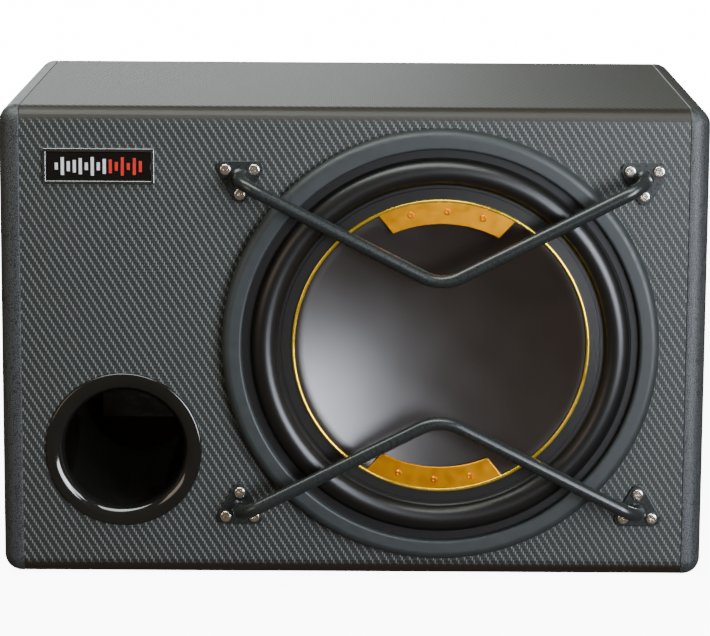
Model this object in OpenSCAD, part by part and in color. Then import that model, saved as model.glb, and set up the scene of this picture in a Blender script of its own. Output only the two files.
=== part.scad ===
// Ported car subwoofer: a twelve-inch driver in a wrapped board enclosure.
// +X is to the right, +Y to the rear and +Z up. Z = 0 is the underside.

/* [Enclosure] */
// Width over both side panels
box_w = 500; // [496:1:540]
// Height of the enclosure
box_h = 338; // [334:1:360]
// Depth from the front to the rear of the side panels
box_d = 300; // [280:1:360]
// Thickness of each side panel
side_t = 15; // [14:0.5:16]
// Thickness of the front baffle
baffle_t = 18; // [16:0.5:20]
// Thickness of the top, bottom and rear panels
board_t = 15; // [13:0.5:18]
// Radius of the front edges
front_edge_r = 12; // [9:0.5:13]
// Radius of the rear edges
rear_edge_r = 7; // [4:0.5:10]
// Thickness of the vinyl wrap
wrap_t = 0.8; // [0.6:0.1:1.2]

/* [Driver] */
// Distance of the driver's axis from the middle of the enclosure
driver_x = 61.5; // [58:0.5:64]
// Outer radius of the rubber trim ring
trim_r = 154.5; // [154:0.1:155]
// Inner radius of the rubber trim ring
trim_in_r = 140.5; // [140.2:0.1:141]
// Outer radius of the surround's roll
roll_out_r = 134; // [133.8:0.1:134.2]
// Inner radius of the surround's roll
roll_in_r = 115.5; // [115:0.1:116]
// Radius of the concave centre dish
dish_r = 102.6; // [102.2:0.1:102.8]
// Depth of the dish at its centre
dish_depth = 14; // [10:0.5:16]
// Length of the voice coil winding
winding_l = 30; // [24:1:30]

/* [Port] */
// Distance of the port's axis left of the middle of the enclosure
port_x = 163; // [160:0.5:164]
// Height of the port's axis
port_z = 92; // [84:0.5:96]
// Radius of the port's throat
throat_r = 42.4; // [38:0.2:43]
// Outer radius of the port's flange
port_rim_r = 55.6; // [55.4:0.1:56]
// Length of the port behind the front face
port_l = 175; // [120:1:190]

/* [Guard bars] */
// Diameter of the bent tube
bar_d = 9.5; // [8:0.1:10]
// Height of the tube's centre line above the front face
bar_reach = 27.5; // [26:0.5:34]
// Distance of each foot from the driver's axis, sideways
foot_dx = 141.8; // [140:0.2:144]
// Distance of each foot from the driver's axis, upwards or downwards
foot_dz = 119.2; // [118:0.2:121]
// Distance from the driver's axis to the corner that the two limbs aim at
vertex_dz = 47; // [43:0.5:49]
// Bend radius at the middle of each bar
apex_bend_r = 30; // [26:1:44]

/* [Badge] */
// Width of the badge frame
badge_w = 78.5; // [74:0.5:82]
// Height of the badge frame
badge_h = 25.5; // [23:0.5:28]
// Distance of the badge's centre left of the middle of the enclosure
badge_x = 179.4; // [176:0.2:182]
// Distance of the badge's centre below the top of the enclosure
badge_drop = 42.5; // [38:0.5:48]

/* [Terminals] */
// Width of the terminal plate
cup_w = 100; // [96:1:110]
// Height of the terminal plate
cup_h = 66; // [64:1:74]
// Distance of each push button from the middle of the plate
button_dx = 15; // [14:0.5:16]
// How far a button can be pressed
button_travel = 5; // [4:0.5:6]

/* [Hidden] */
$fn = 96;

gap = 0.05;          // glue or fitting gap between fixed pieces
face_inset = 0.6;    // the wrapped middle's front, top and rear sit this far inside the side panels
side_edge_r = 12.5;  // rounding of the side panels' outer edges
bar_r = bar_d / 2;
guard_reach = bar_reach + bar_r - face_inset;
cup_seal_t = 1;
cup_plate_t = 3;
cup_head_h = 2;
cup_reach = cup_seal_t + cup_plate_t + cup_head_h - face_inset;
back_y = (box_d + guard_reach - cup_reach) / 2;
front_y = back_y - box_d;
face_y = front_y + face_inset;
rear_y = back_y - face_inset;
middle_w = box_w - 2 * side_t;
core_front = face_y + wrap_t;
core_rear = rear_y - wrap_t;
core_bottom = wrap_t;
core_top = box_h - face_inset - wrap_t;
driver_z = box_h / 2;
badge_z = box_h - badge_drop;
big = 1000;
port_flare = 9;      // radius of the flared mouth
port_lip = 2.5;      // how far the port's flange stands out
port_wall = 2.2;
port_edge_r = 1.6;

// driver, measured forwards from the underside of its flange
seal_t = 1;
flange_t = 2;
flange_r = 153.4;
basket_r = 136.2;
cutout_r = 138;
trim_h = 7.5;
trim_outer_round = 6;
trim_inner_round = 2;
screw_ring_r = 147.5;
rubber_t = 1.2;
roll_r = (roll_out_r - roll_in_r) / 2;
roll_mid_r = (roll_out_r + roll_in_r) / 2;
cone_lip_r = 116.5;
cone_lip_in_r = 99.8;
cone_lip_top = 2;
cone_lip_t = 1.6;
gold_out_r = 105.3;
gold_plate_in_r = 87.4;
gold_outer_half_angle = 27.9;
gold_inner_half_angle = 25.3;
gold_turn = -2.2;
gold_boss_r = 2.7;
gold_boss_ring_r = 96.4;
gold_boss_step = 15.3;
former_r = 25;
former_t = 0.3;
neck_z = -64;
coil_end_z = -104.5;
ledge_z = -70;
motor_top_z = -84;
plate_t = 10;
magnet_t = 22;
pole_r = 24.6;
vent_r = 9;
spoke_count = 8;
spoke_window_angle = 31;

// guard feet and their screws
foot_t = 2.2;
foot_corner_r = 5.8;
foot_screw_r = 11.7;
elbow_r = 17;
bar_sides = 24;
screw_head_r = 4.1;
screw_head_h = 2.4;
screw_shank_r = 1.9;
screw_l = 14;
limb_angle = atan((foot_dz - vertex_dz) / foot_dx);
limb_l = norm([foot_dx, foot_dz - vertex_dz]);
bend_run = apex_bend_r * tan(limb_angle);

// terminal cup, measured outwards from the rear face
recess_w = 64;
recess_h = 44;
recess_d = 22;
cup_wall = 2.5;
button_w = 14.4;
button_h = 12.4;
button_slack = 0.35;
button_top = -9;
button_flange = 1.8;
flange_lift = 0.8;       // from the spring's top plane to the stop flange
cover_floor_t = 2;
spring_pressed_l = 14.2; // what is left of the spring with the button pressed home
cover_d = spring_pressed_l + button_travel + 2 * button_flange + cover_floor_t - flange_lift;
wire_hole_r = 2.2;
wire_hole_dy = -13;
floor_z = -recess_d - cup_wall;
spring_top = floor_z - 2 * button_flange;
spring_end = floor_z - cover_d + cover_floor_t;
spring_r = 4.2;
spring_wire_r = 0.45;

// ---------- shared shapes ----------

// places things on the front face: x to the right, y up, z outwards
module on_face(x, z) {
    translate([x, face_y, z]) rotate([90, 0, 0]) children();
}

// places driver pieces, z measured from the underside of the flange
module on_driver() {
    on_face(driver_x, driver_z) translate([0, 0, seal_t]) children();
}

// places things on the rear face as seen from behind, z outwards
module on_rear() {
    translate([0, rear_y, driver_z]) rotate([90, 0, 180]) children();
}

module round_rect(w, h, r) {
    square([w - 2 * r, h], center = true);
    square([w, h - 2 * r], center = true);
    for (x = [-1, 1], y = [-1, 1])
        translate([x * (w / 2 - r), y * (h / 2 - r)]) circle(r);
}

// side view of the wrapped middle: its underside is level with the side panels'
module middle_profile(inset) {
    y0 = face_y + inset;
    y1 = rear_y - inset;
    z0 = inset;
    z1 = box_h - face_inset - inset;
    rf = front_edge_r - inset;
    rr = rear_edge_r - inset;
    translate([y0 + rf, z0]) square([y1 - y0 - rf - rr, z1 - z0]);
    translate([y0, z0 + rf]) square([rf, z1 - z0 - 2 * rf]);
    translate([y1 - rr, z0 + rr]) square([rr, z1 - z0 - 2 * rr]);
    for (z = [z0 + rf, z1 - rf]) translate([y0 + rf, z]) circle(rf);
    for (z = [z0 + rr, z1 - rr]) translate([y1 - rr, z]) circle(rr);
}

// a side view drawn in Y and Z, made a solid along X
module along_x(width) {
    rotate([90, 0, 90])
        translate([0, 0, -width / 2]) linear_extrude(width) children();
}

module ring(out_r, in_r, z, h) {
    translate([0, 0, z]) difference() {
        cylinder(r = out_r, h = h);
        translate([0, 0, -1]) cylinder(r = in_r, h = h + 2);
    }
}

// pan-head screw with a cross recess, its head's underside at z = 0
module pan_screw(head_r, head_h, shank_r, length) {
    slot = head_r * 0.24;
    difference() {
        intersection() {
            cylinder(r = head_r, h = head_h, $fn = 32);
            translate([0, 0, head_h - head_r * 1.5]) sphere(head_r * 1.5, $fn = 48);
        }
        for (a = [0, 90]) rotate([0, 0, a + 20])
            translate([-head_r * 0.56, -slot / 2, head_h * 0.45])
                cube([head_r * 1.12, slot, head_h]);
    }
    translate([0, 0, -length]) cylinder(r = shank_r, h = length, $fn = 24);
}

// the three screw places of a foot: one points at the middle of the box
function foot_angles(up) = [for (k = [0:2]) -90 * up + 120 * k];

module at_foot_screws() {
    for (sx = [-1, 1], up = [-1, 1])
        translate([sx * foot_dx, up * foot_dz, 0])
            for (a = foot_angles(up))
                translate([foot_screw_r * cos(a), foot_screw_r * sin(a), 0])
                    children();
}

module at_driver_screws() {
    for (k = [0:7]) rotate([0, 0, 22.5 + 45 * k])
        translate([screw_ring_r, 0, 0]) children();
}

module at_cup_screws() {
    for (x = [-1, 1], y = [-1, 1])
        translate([x * (cup_w / 2 - 7), y * (cup_h / 2 - 7), 0]) children();
}

// what is cut from the front board and its wrap
module front_openings(pilot_l) {
    on_face(driver_x, driver_z) {
        translate([0, 0, -baffle_t - 5]) cylinder(r = cutout_r, h = baffle_t + 10, $fn = 180);
        at_foot_screws()
            translate([0, 0, -pilot_l]) cylinder(r = screw_shank_r + gap, h = pilot_l + 1, $fn = 24);
        at_driver_screws()
            translate([0, 0, -pilot_l]) cylinder(r = screw_shank_r + gap, h = pilot_l + 1, $fn = 24);
    }
    on_face(-port_x, port_z)
        translate([0, 0, -baffle_t - 5]) cylinder(r = throat_r + port_flare + 0.2, h = baffle_t + 10);
}

module rear_openings() {
    on_rear() {
        translate([0, 0, -board_t - 5]) linear_extrude(board_t + 10)
            round_rect(recess_w + 2 * cup_wall + 1, recess_h + 2 * cup_wall + 1, 3);
        at_cup_screws()
            translate([0, 0, -board_t]) cylinder(r = screw_shank_r + gap, h = board_t + 1, $fn = 24);
    }
}

// a tube swept along points, its rings turned to stay square to the path
function unit(v) = v / norm(v);
function heading(p, i) = unit(p[min(i + 1, len(p) - 1)] - p[max(i - 1, 0)]);
function ring_at(c, d, side, r, n) =
    let (u = unit(cross(d, side)), v = cross(d, u))
    [for (k = [0:n - 1]) c + r * (cos(360 * k / n) * u + sin(360 * k / n) * v)];

module swept_tube(p, r, n, side) {
    m = len(p);
    rings = [for (i = [0:m - 1]) each ring_at(p[i], heading(p, i), side, r, n)];
    walls = [for (i = [0:m - 2], k = [0:n - 1])
        let (a = i * n + k, b = i * n + (k + 1) % n)
        each [[b, a, a + n], [b, a + n, b + n]]];
    first = [[for (k = [0:n - 1]) k]];
    last = [[for (k = [n - 1:-1:0]) (m - 1) * n + k]];
    polyhedron(rings, concat(first, walls, last));
}

// a smooth path through hand-set points
function spline_point(a, b, c, d, t) =
    0.5 * ((2 * b) + (c - a) * t + (2 * a - 5 * b + 4 * c - d) * t * t
        + (3 * b - a - 3 * c + d) * t * t * t);
function smooth_path(p, steps) = let (m = len(p)) concat(
    [for (i = [0:m - 2], s = [0:steps - 1])
        spline_point(p[max(i - 1, 0)], p[i], p[i + 1], p[min(i + 2, m - 1)], s / steps)],
    [p[m - 1]]);

// ---------- enclosure ----------

module front_baffle() {
    color("dimgray") difference() {
        intersection() {
            along_x(middle_w) middle_profile(wrap_t);
            translate([-big, core_front - 1, -big]) cube([2 * big, baffle_t + 1, 2 * big]);
        }
        front_openings(baffle_t);
    }
}

module rear_panel() {
    color("dimgray") difference() {
        intersection() {
            along_x(middle_w) middle_profile(wrap_t);
            translate([-big, core_rear - board_t, -big]) cube([2 * big, board_t + 1, 2 * big]);
        }
        rear_openings();
    }
}

module level_panel(z) {
    y0 = core_front + baffle_t;
    translate([-middle_w / 2, y0, z]) cube([middle_w, core_rear - board_t - y0, board_t]);
}

module top_panel() {
    color("dimgray") level_panel(core_top - board_t);
}

module bottom_panel() {
    color("dimgray") level_panel(core_bottom);
}

// a side panel's outline from one direction, rounded on its outer side only
module outer_round(depth) {
    r = side_edge_r;
    intersection() {
        translate([-depth / 2, 0]) square([depth, side_t]);
        union() {
            translate([-depth / 2, -1]) square([depth, side_t - r + 1]);
            translate([-depth / 2 + r, -1]) square([depth - 2 * r, side_t + 1]);
            for (x = [-1, 1]) translate([x * (depth / 2 - r), side_t - r]) circle(r);
        }
    }
}

module side_panel() {
    mid_y = (front_y + back_y) / 2;
    inner = box_w / 2 - side_t;
    intersection() {
        translate([inner, mid_y, 0]) rotate([0, 0, -90]) mirror([1, 0, 0])
            linear_extrude(box_h) outer_round(box_d);
        translate([inner, back_y + 1, box_h / 2]) rotate([90, 90, 0])
            linear_extrude(box_d + 2) outer_round(box_h);
        along_x(box_w + 2) translate([mid_y, box_h / 2]) round_rect(box_d, box_h, side_edge_r);
    }
}

module right_side_panel() {
    color("black") side_panel();
}

module left_side_panel() {
    color("black") mirror([1, 0, 0]) side_panel();
}

module centre_wrap() {
    color("darkslategray") difference() {
        along_x(middle_w) difference() {
            middle_profile(0);
            middle_profile(wrap_t);
        }
        front_openings(wrap_t + 1);
        rear_openings();
    }
}

module damping_pad() {
    pad_w = middle_w - 70;
    pad_h = box_h - 110;
    color("gainsboro") difference() {
        translate([-pad_w / 2, core_rear - board_t - 20, (box_h - pad_h) / 2])
            cube([pad_w, 20 - gap, pad_h]);
        on_rear() translate([0, 0, -80]) linear_extrude(100)
            square([recess_w + 34, recess_h + 34], center = true);
    }
}

// ---------- port and badge ----------

module port_profile() {
    flare_top_r = throat_r + port_flare;
    translate([throat_r, -port_l]) square([port_wall, port_l - port_flare + port_lip]);
    intersection() {
        translate([flare_top_r, port_lip - port_flare]) circle(port_flare);
        translate([throat_r, port_lip - port_flare]) square([port_flare, port_flare]);
    }
    translate([flare_top_r, gap]) square([port_rim_r - flare_top_r - 1.2, port_lip - gap]);
    intersection() {
        translate([port_rim_r - port_edge_r, port_lip - port_edge_r]) circle(port_edge_r, $fn = 32);
        translate([0, gap]) square([port_rim_r, port_lip]);
    }
    translate([port_rim_r - 1.7, gap]) square([1.7, port_lip - port_edge_r - gap]);
}

module port_tube() {
    color([0.08, 0.08, 0.09]) on_face(-port_x, port_z) rotate_extrude($fn = 144) port_profile();
}

module badge_frame() {
    color("silver") on_face(-badge_x, badge_z) difference() {
        linear_extrude(2) round_rect(badge_w, badge_h, 1);
        translate([0, 0, -1]) linear_extrude(4) square([badge_w - 5, badge_h - 5], center = true);
    }
}

module badge_plate() {
    color("black") on_face(-badge_x, badge_z)
        linear_extrude(1.2) square([badge_w - 5.2, badge_h - 5.2], center = true);
}

// ---------- guard bars ----------

// the bar's centre line: up from a foot, round the elbow, along the limb, over the middle
function guard_half() = let (
    out = [cos(limb_angle), sin(limb_angle)],
    foot = [foot_dx, foot_dz],
    bend = foot - (limb_l - bend_run) * out,
    hub_y = vertex_dz + apex_bend_r / cos(limb_angle)
) concat(
    [[foot.x, foot.y, foot_t]],
    [for (a = [0:7.5:90]) let (p = foot - elbow_r * (1 - cos(a)) * out)
        [p.x, p.y, bar_reach - elbow_r + elbow_r * sin(a)]],
    [[bend.x, bend.y, bar_reach]],
    [for (k = [1:8]) let (a = limb_angle * (1 - k / 8))
        [apex_bend_r * sin(a), hub_y - apex_bend_r * cos(a), bar_reach]]);

module guard_bar() {
    half = guard_half();
    n = len(half);
    other = [for (i = [n - 2:-1:0]) [-half[i].x, half[i].y, half[i].z]];
    swept_tube(concat(half, other), bar_r, bar_sides, [0, 1, 0]);
}

module upper_guard_bar() {
    color([0.16, 0.17, 0.18]) on_face(driver_x, driver_z) guard_bar();
}

module lower_guard_bar() {
    color([0.16, 0.17, 0.18]) on_face(driver_x, driver_z) mirror([0, 1, 0]) guard_bar();
}

// rounded triangle with a screw in each corner
module foot_outline(up) {
    hull() for (a = foot_angles(up))
        translate(foot_screw_r * [cos(a), sin(a)]) circle(foot_corner_r, $fn = 32);
}

module foot_plate(sx, up) {
    color([0.16, 0.17, 0.18]) on_face(driver_x, driver_z)
        translate([sx * foot_dx, up * foot_dz, 0]) difference() {
            linear_extrude(foot_t) foot_outline(up);
            for (a = foot_angles(up)) translate([foot_screw_r * cos(a), foot_screw_r * sin(a), -1])
                cylinder(r = screw_shank_r + 0.3, h = foot_t + 2, $fn = 24);
        }
}

module guard_screws() {
    color("silver") on_face(driver_x, driver_z) at_foot_screws()
        translate([0, 0, foot_t]) pan_screw(screw_head_r, screw_head_h, screw_shank_r, screw_l);
}

// ---------- driver, fixed part ----------

module trim_ring_profile() {
    w = trim_r - trim_in_r;
    top = flange_t + trim_h;
    intersection() {
        union() {
            translate([trim_in_r, flange_t]) square([w - trim_outer_round, trim_h - trim_inner_round]);
            translate([trim_in_r + trim_inner_round, flange_t])
                square([w - trim_outer_round - trim_inner_round, trim_h]);
            translate([trim_in_r + trim_inner_round, top - trim_inner_round]) circle(trim_inner_round);
            translate([trim_r - trim_outer_round, top - trim_outer_round]) circle(trim_outer_round);
            translate([trim_r - trim_outer_round, flange_t])
                square([trim_outer_round, trim_h - trim_outer_round]);
        }
        translate([0, flange_t + gap]) square([trim_r, trim_h]);
    }
    translate([flange_r + 0.2, gap - seal_t]) square([trim_r - flange_r - 0.2, flange_t + seal_t + 1]);
}

module trim_ring() {
    color([0.2, 0.21, 0.22]) on_driver() rotate_extrude($fn = 180) difference() {
        trim_ring_profile();
        translate([screw_ring_r - 4.8, 0]) square([9.6, flange_t + screw_head_h + 0.6]);
    }
}

module driver_seal() {
    color("black") on_face(driver_x, driver_z) difference() {
        ring(152, 139.5, 0, seal_t, $fn = 180);
        at_driver_screws() translate([0, 0, -1]) cylinder(r = screw_shank_r + 0.3, h = 3, $fn = 24);
    }
}

module basket() {
    wall = 2;
    shell = [
        [roll_out_r - 0.1, flange_t], [flange_r, flange_t], [flange_r, 0], [basket_r, 0],
        [basket_r, -15], [86.2, -69], [86.2, ledge_z - wall], [78.2, ledge_z - wall],
        [78.2, motor_top_z], [42, motor_top_z], [42, motor_top_z + wall],
        [76, motor_top_z + wall], [76, ledge_z], [84, ledge_z], [84, -67.5],
        [roll_out_r - 0.1, -14]
    ];
    color("dimgray") on_driver() difference() {
        rotate_extrude($fn = 180) polygon(shell);
        for (k = [0:spoke_count - 1]) rotate([0, 0, 360 / spoke_count * k + 7])
            rotate_extrude(angle = spoke_window_angle) translate([92, -66]) square([36, 46]);
        at_driver_screws() translate([0, 0, -1]) cylinder(r = screw_shank_r + 0.3, h = 5, $fn = 24);
    }
}

module driver_screws() {
    color("silver") on_driver() at_driver_screws()
        translate([0, 0, flange_t]) pan_screw(screw_head_r, screw_head_h, screw_shank_r, screw_l);
}

// half-round rubber roll with a flat lip on each side
module surround() {
    lip_z = flange_t + gap;
    color([0.15, 0.15, 0.16]) on_driver() rotate_extrude($fn = 180) {
        intersection() {
            difference() {
                translate([roll_mid_r, lip_z]) circle(roll_r);
                translate([roll_mid_r, lip_z]) circle(roll_r - rubber_t);
            }
            translate([0, lip_z]) square([roll_out_r, roll_r + 1]);
        }
        translate([roll_out_r - rubber_t, lip_z])
            square([trim_in_r - 0.2 - roll_out_r + rubber_t, rubber_t]);
        translate([gold_out_r + 0.1, lip_z])
            square([roll_in_r + rubber_t - gold_out_r - 0.1, rubber_t]);
    }
}

// corrugated cloth disc between the former and the basket's ledge
module spider() {
    t = 0.7;
    in_r = former_r + former_t + 0.3;
    wave_in = 30;
    wave_out = 75;
    waves = 5;
    steps = 40;
    mid = ledge_z + gap + t / 2;
    wave = [for (i = [0:steps]) let (s = i / steps)
        [wave_in + (wave_out - wave_in) * s, mid + 2.2 * sin(360 * waves * s)]];
    path = concat([[in_r, mid]], wave, [[83.8, mid]]);
    n = len(path) - 1;
    color("goldenrod") on_driver() rotate_extrude() polygon(concat(
        [for (i = [0:n]) path[i] + [0, t / 2]],
        [for (i = [n:-1:0]) path[i] - [0, t / 2]]));
}

module top_plate() {
    color("silver") on_driver() ring(68, former_r + 2.2, motor_top_z - plate_t, plate_t);
}

module magnet() {
    color([0.25, 0.25, 0.26]) on_driver()
        ring(77, 43, motor_top_z - plate_t - magnet_t, magnet_t);
}

module t_yoke() {
    bottom = motor_top_z - plate_t - magnet_t;
    color("silver") on_driver() difference() {
        union() {
            translate([0, 0, bottom - plate_t]) cylinder(r = 68, h = plate_t);
            translate([0, 0, bottom]) cylinder(r = pole_r, h = plate_t + magnet_t);
        }
        translate([0, 0, bottom - plate_t - 1]) cylinder(r = vent_r, h = 2 * plate_t + magnet_t + 2);
    }
}

// lies on the outside of the basket's left spoke, z square to the spoke
module on_spoke() {
    slope = atan(54 / 50);
    on_driver() rotate([0, 0, 180]) translate([111.2, 0, -42]) rotate([0, 180 - slope, 0])
        children();
}

module terminal_block() {
    color("black") on_spoke() translate([-7, -12, gap]) difference() {
        cube([14, 24, 3]);
        for (y = [5, 19]) translate([7, y, -1]) cylinder(r = 1.2, h = 5, $fn = 24);
    }
}

module driver_tabs() {
    color("gold") on_spoke() for (y = [-7, 7]) translate([0, y, 0]) {
        translate([0, 0, gap]) cylinder(r = 1.1, h = 3.2, $fn = 24);
        translate([-2.5, -2.4, 3 + gap + 0.1]) cube([5, 4.8, 0.8]);
        translate([-2.5, -0.4 - 2, 3.9]) cube([0.8, 4.8, 8]);
    }
}

// flexible braid from a tab, out past the spoke and up to the cone
module tinsel_lead(sy) {
    route = [
        [112, 11 * sy, -50], [108, 15 * sy, -53], [103, 20 * sy, -52],
        [95, 23 * sy, -46], [84, 21 * sy, -41], [72, 16 * sy, -42], [62, 12 * sy, -39.5]
    ];
    color("peru") on_driver() rotate([0, 0, 180])
        swept_tube(smooth_path(route, 3), 0.8, 8, [0, 0, 1]);
}

module tinsel_lead_upper() {
    tinsel_lead(-1);
}

module tinsel_lead_lower() {
    tinsel_lead(1);
}

// ---------- driver, moving part ----------

module cone() {
    in_r = former_r + former_t + gap;
    under = cone_lip_top - cone_lip_t;
    color([0.12, 0.12, 0.13]) on_driver() rotate_extrude($fn = 180) polygon([
        [cone_lip_in_r, cone_lip_top], [cone_lip_r, cone_lip_top], [cone_lip_r, under],
        [106, under], [in_r + 1.9, neck_z + 4.8], [in_r + 1.9, neck_z], [in_r, neck_z],
        [in_r, neck_z + 6.6], [103.2, under], [cone_lip_in_r, under]
    ]);
}

// shallow dish: a slice of a large sphere with a flat edge
module centre_dish() {
    t = 1.2;
    lip = 3;
    bowl_r = dish_r - lip;
    sphere_r = (bowl_r * bowl_r + dish_depth * dish_depth) / (2 * dish_depth);
    top = cone_lip_top + gap + t;
    color([0.13, 0.11, 0.1]) on_driver() rotate_extrude($fn = 180) {
        intersection() {
            translate([0, top - dish_depth + sphere_r]) difference() {
                circle(sphere_r + t, $fn = 720);
                circle(sphere_r, $fn = 720);
            }
            translate([0, top - dish_depth - 2 * t]) square([bowl_r, dish_depth + 2 * t]);
        }
        translate([bowl_r - 0.3, top - t]) square([lip + 0.3, t]);
    }
}

// the sector that a gold plate fills, with slanted ends
module gold_wedge() {
    inner = gold_plate_in_r * [cos(gold_inner_half_angle), sin(gold_inner_half_angle)];
    outer = gold_out_r * [cos(gold_outer_half_angle), sin(gold_outer_half_angle)];
    near = 1.3 * inner - 0.3 * outer;
    far = 1.3 * outer - 0.3 * inner;
    polygon([[near.x, -near.y], [far.x, -far.y], [1.3 * gold_out_r, 0], far, near]);
}

// one gold moulding: a thin bead with two wide plates, each with three bosses
module gold_trim() {
    foot_z = cone_lip_top + gap;
    plate_z = foot_z + 1.2 + gap;
    bead_r = 1.25;
    color([0.9, 0.6, 0.12]) on_driver() rotate([0, 0, gold_turn]) {
        rotate_extrude($fn = 180) {
            translate([gold_out_r - 2 * bead_r, foot_z]) square([2 * bead_r, 2.2]);
            translate([gold_out_r - bead_r, foot_z + 2.2]) circle(bead_r, $fn = 32);
        }
        for (side = [90, 270]) {
            rotate([0, 0, side]) intersection() {
                ring(gold_out_r - 1, gold_plate_in_r, plate_z, 1.6);
                linear_extrude(plate_z + 5) gold_wedge();
            }
            for (k = [-1:1]) rotate([0, 0, side + gold_boss_step * k])
                translate([gold_boss_ring_r, 0, plate_z + 0.8])
                    cylinder(r1 = gold_boss_r, r2 = 1.6, h = 1.9, $fn = 32);
        }
    }
}

module coil_former() {
    color("peru") on_driver()
        ring(former_r + former_t, former_r, coil_end_z, neck_z + 7 - coil_end_z);
}

module coil_winding() {
    color("orangered") on_driver()
        ring(former_r + former_t + 1.2, former_r + former_t + gap, coil_end_z + 0.5, winding_l);
}

// ---------- terminals ----------

module terminal_cup() {
    color([0.1, 0.1, 0.1]) on_rear() difference() {
        union() {
            translate([0, 0, cup_seal_t]) linear_extrude(cup_plate_t) round_rect(cup_w, cup_h, 6);
            translate([0, 0, floor_z]) linear_extrude(cup_seal_t - floor_z)
                round_rect(recess_w + 2 * cup_wall, recess_h + 2 * cup_wall, 3);
        }
        translate([0, 0, -recess_d]) linear_extrude(2 * recess_d) round_rect(recess_w, recess_h, 2);
        for (x = [-1, 1]) {
            translate([x * button_dx, 0, floor_z - 1]) linear_extrude(cup_wall + 2)
                square([button_w + 2 * button_slack, button_h + 2 * button_slack], center = true);
            translate([x * button_dx, wire_hole_dy, floor_z - 1])
                cylinder(r = wire_hole_r, h = cup_wall + 2, $fn = 32);
        }
        at_cup_screws() translate([0, 0, -1]) cylinder(r = screw_shank_r + 0.3, h = 8, $fn = 24);
    }
}

module terminal_seal() {
    color("black") on_rear() difference() {
        linear_extrude(cup_seal_t - gap) round_rect(cup_w - 2, cup_h - 2, 5);
        translate([0, 0, -1]) linear_extrude(4)
            round_rect(recess_w + 2 * cup_wall + 0.4, recess_h + 2 * cup_wall + 0.4, 3);
        at_cup_screws() translate([0, 0, -1]) cylinder(r = screw_shank_r + 0.3, h = 8, $fn = 24);
    }
}

module terminal_rear_cover() {
    color([0.1, 0.1, 0.1]) on_rear() difference() {
        translate([0, 0, floor_z - cover_d]) linear_extrude(cover_d - gap)
            round_rect(recess_w, recess_h, 3);
        translate([0, 0, spring_end]) linear_extrude(cover_d)
            round_rect(recess_w - 2 * cover_floor_t, recess_h - 2 * cover_floor_t, 2);
        for (x = [-1, 1]) translate([x * button_dx - 4.5, wire_hole_dy - 5.2, floor_z - cover_d - 1])
            cube([9, 1.6, 4]);
    }
}

module terminal_screws() {
    color("silver") on_rear() at_cup_screws() translate([0, 0, cup_seal_t + cup_plate_t])
        pan_screw(screw_head_r - 0.6, cup_head_h, screw_shank_r, 12);
}

// finger pad, a stem through the floor and a stop flange behind it
module push_button(side) {
    on_rear() translate([side * button_dx, 0, 0]) {
        translate([0, 0, floor_z - 1.2]) linear_extrude(button_top - floor_z - 0.8)
            square([button_w, button_h], center = true);
        translate([0, 0, button_top - 2.01]) linear_extrude(2.01)
            square([button_w - 2, button_h - 2], center = true);
        translate([0, 0, spring_top + flange_lift]) linear_extrude(button_flange)
            square([button_w + 3, button_h + 3], center = true);
        translate([0, 0, spring_top - 3]) cylinder(r = spring_r - 1.2, h = 4, $fn = 32);
    }
}

module red_button() {
    color("red") push_button(1);
}

module black_button() {
    color([0.15, 0.15, 0.15]) push_button(-1);
}

module button_spring(side) {
    turns = 5;
    steps = 14;
    n = turns * steps;
    start = spring_top + flange_lift - spring_wire_r - 0.2;
    end = spring_end + spring_wire_r + 0.1;
    coil = [for (i = [0:n]) [
        spring_r * cos(360 * i / steps), spring_r * sin(360 * i / steps),
        end + (start - end) * i / n
    ]];
    color("silver") on_rear() translate([side * button_dx, 0, 0])
        swept_tube(coil, spring_wire_r, 6, [0, 0, 1]);
}

module red_spring() {
    button_spring(1);
}

module black_spring() {
    button_spring(-1);
}

// brass strip behind a wire hole, its tail through the rear cover
module contact_strip(side) {
    color("gold") on_rear() translate([side * button_dx, wire_hole_dy - 5, 0]) {
        translate([-4, 0, floor_z - cover_d - 7]) cube([8, 1, cover_d + 5]);
        translate([-4, 0, floor_z - 2.2]) cube([8, 2.6, 1]);
    }
}

module red_contact() {
    contact_strip(1);
}

module black_contact() {
    contact_strip(-1);
}

// inner wire from a contact's tail to a tab on the basket, in the part's own frame
module inner_wire(side) {
    tail = [-side * button_dx, rear_y + floor_z - cover_d - 8.4, driver_z + wire_hole_dy - 4.5];
    tab = [driver_x - 120.6, face_y + 61.5, driver_z - 7 * side];
    route = [
        tail, tail + [0, -9, 0], tail + [-10 * (2 - side), -34, -12],
        [-60 - 6 * side, face_y + 150, driver_z - 22 - 5 * side],
        [-76 - 5 * side, face_y + 110, driver_z - 20 - 8 * side],
        tab + [-14, 22, -4 * side], tab
    ];
    swept_tube(smooth_path(route, 4), 1.3, 8, [0, 0, 1]);
}

module red_wire() {
    color("red") inner_wire(1);
}

module black_wire() {
    color([0.12, 0.12, 0.12]) inner_wire(-1);
}

front_baffle();
rear_panel();
top_panel();
bottom_panel();
left_side_panel();
right_side_panel();
centre_wrap();
damping_pad();
port_tube();
badge_frame();
badge_plate();
upper_guard_bar();
lower_guard_bar();
foot_plate(-1, 1);  // foot_plate_upper_left
foot_plate(1, 1);  // foot_plate_upper_right
foot_plate(-1, -1);  // foot_plate_lower_left
foot_plate(1, -1);  // foot_plate_lower_right
guard_screws();
trim_ring();
driver_seal();
basket();
driver_screws();
surround();
spider();
top_plate();
magnet();
t_yoke();
terminal_block();
driver_tabs();
tinsel_lead_upper();
tinsel_lead_lower();
cone();
centre_dish();
gold_trim();
coil_former();
coil_winding();
terminal_cup();
terminal_seal();
terminal_rear_cover();
terminal_screws();
red_button();
black_button();
red_spring();
black_spring();
red_contact();
black_contact();
red_wire();
black_wire();
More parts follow.
